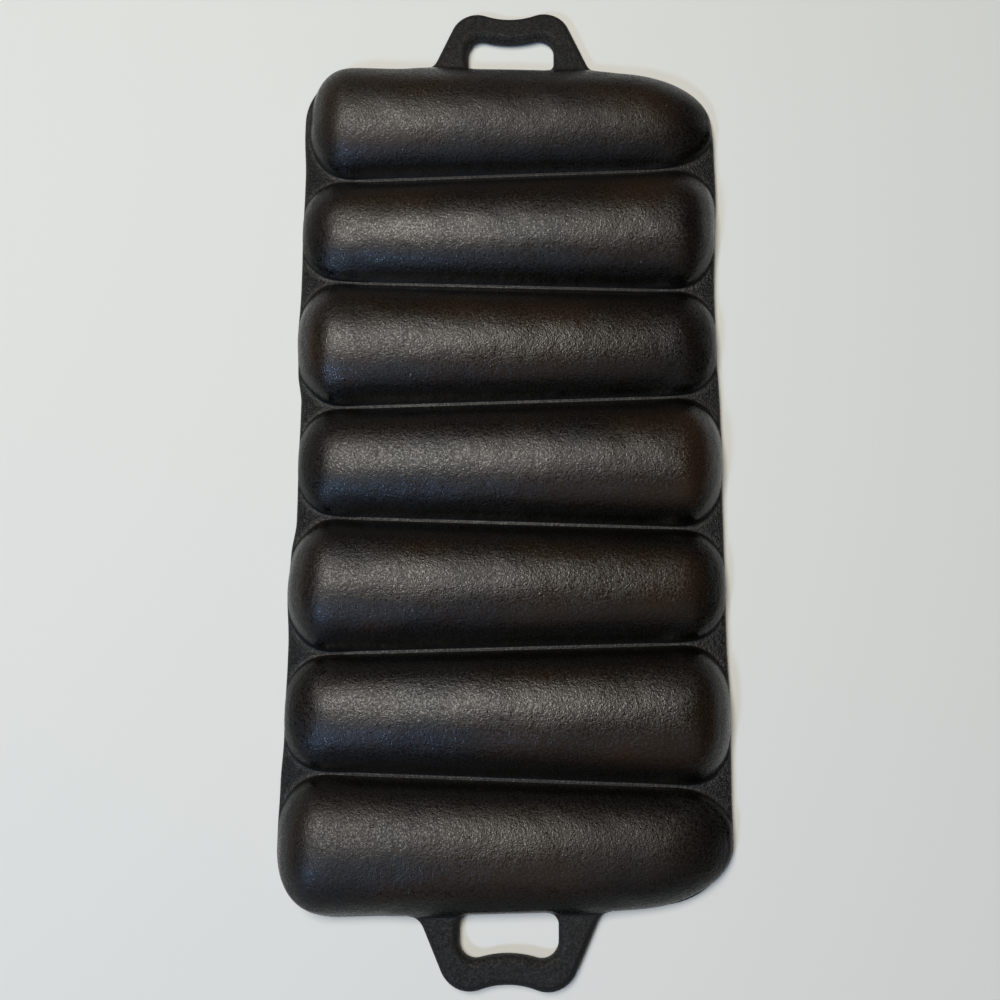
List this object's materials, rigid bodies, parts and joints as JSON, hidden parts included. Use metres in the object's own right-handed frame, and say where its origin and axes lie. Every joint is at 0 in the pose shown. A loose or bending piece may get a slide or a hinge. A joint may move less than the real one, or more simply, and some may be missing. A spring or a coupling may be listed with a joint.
{
  "type": "corn stick pan",
  "caption": "Cast iron baking pan with tapered ear-shaped cups side by side, alternating in direction, in a flat rim with a loop handle at each end.",
  "frame": {"origin": "middle of the plane of the rim, which is the face the pan lies on when it is stored cups up", "axes": "+Z from the rim towards the crests of the cups, +Y from handle to handle across the sticks, +X along the sticks"},
  "size_m": [0.1476, 0.337, 0.0178],
  "materials": {
    "seasoned_iron": "rough as-cast iron under a dark brown-black baked-oil seasoning"
  },
  "bodies": {
    "root": {"stick_cup_1": "seasoned_iron", "stick_cup_2": "seasoned_iron", "stick_cup_3": "seasoned_iron", "stick_cup_4": "seasoned_iron", "stick_cup_5": "seasoned_iron", "stick_cup_6": "seasoned_iron", "stick_cup_7": "seasoned_iron", "handle_far": "seasoned_iron", "handle_near": "seasoned_iron"}
  },
  "joints": []
}
